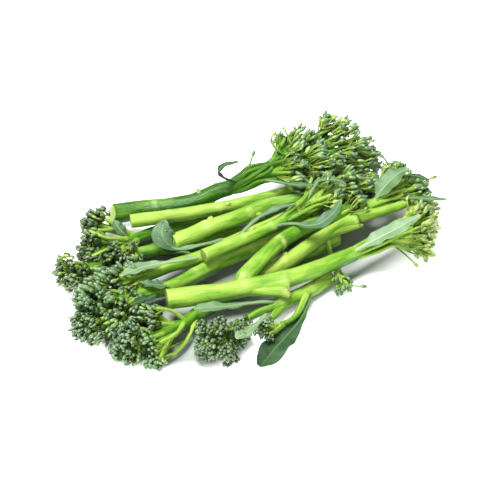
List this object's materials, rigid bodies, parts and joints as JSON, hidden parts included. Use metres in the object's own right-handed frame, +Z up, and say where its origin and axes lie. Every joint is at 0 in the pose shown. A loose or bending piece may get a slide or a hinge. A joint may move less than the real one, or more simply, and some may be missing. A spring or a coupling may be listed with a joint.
{
  "type": "baby broccoli bunch",
  "caption": "Bunch of long-stemmed baby broccoli lying in a heap, cut stalks and budded heads at both ends, with narrow waxy leaves among them.",
  "frame": {"origin": "on the surface that the bunch lies on, under the middle of its bounding box", "axes": "+X along the stems, from the dark heads at the left to the loose heads at the right; +Y away from the viewer; +Z up"},
  "size_m": [0.2325, 0.1968, 0.0481],
  "materials": {
    "stalk": "smooth waxy skin, pale lime green",
    "tight_head": "matt dark blue-green buds with a grey bloom",
    "loose_head": "matt mid-green buds on pale green pedicels",
    "leaf": "matt blue-green, waxy, with a pale midrib"
  },
  "bodies": {
    "root": {"head_front": "tight_head", "head_front_left": "tight_head", "head_front_middle": "tight_head", "head_front_middle_shoot": "tight_head", "head_front_right": "loose_head", "head_front_right_shoot": "loose_head", "head_inner_right": "loose_head", "head_middle_left": "tight_head", "head_middle_right": "loose_head", "head_outer_left": "tight_head", "head_outer_right": "loose_head", "head_outer_right_shoot": "loose_head", "head_rear_left": "tight_head", "head_rear_left_side_1": "tight_head", "head_rear_right": "loose_head", "head_rear_right_side_1": "loose_head", "head_top_right": "loose_head", "head_top_right_side_1": "loose_head", "leaf_front_left_1": "leaf", "leaf_front_left_2": "leaf", "leaf_front_middle_1": "leaf", "leaf_front_middle_2": "leaf", "leaf_front_middle_3": "leaf", "leaf_front_right_1": "leaf", "leaf_middle_left_1": "leaf", "leaf_middle_left_2": "leaf", "leaf_outer_right_1": "leaf", "leaf_outer_right_2": "leaf", "leaf_outer_right_3": "leaf", "leaf_rear_left_1": "leaf", "leaf_rear_left_2": "leaf", "leaf_rear_right_1": "leaf", "leaf_rear_right_2": "leaf", "leaf_top_right_1": "leaf", "leaf_top_right_2": "leaf", "leaf_top_right_3": "leaf", "stalk_front": "stalk", "stalk_front_left": "stalk", "stalk_front_middle": "stalk", "stalk_front_right": "stalk", "stalk_inner_right": "stalk", "stalk_middle_left": "stalk", "stalk_middle_right": "stalk", "stalk_outer_left": "stalk", "stalk_outer_right": "stalk", "stalk_rear_left": "stalk", "stalk_rear_right": "stalk", "stalk_top_right": "stalk"}
  },
  "joints": []
}
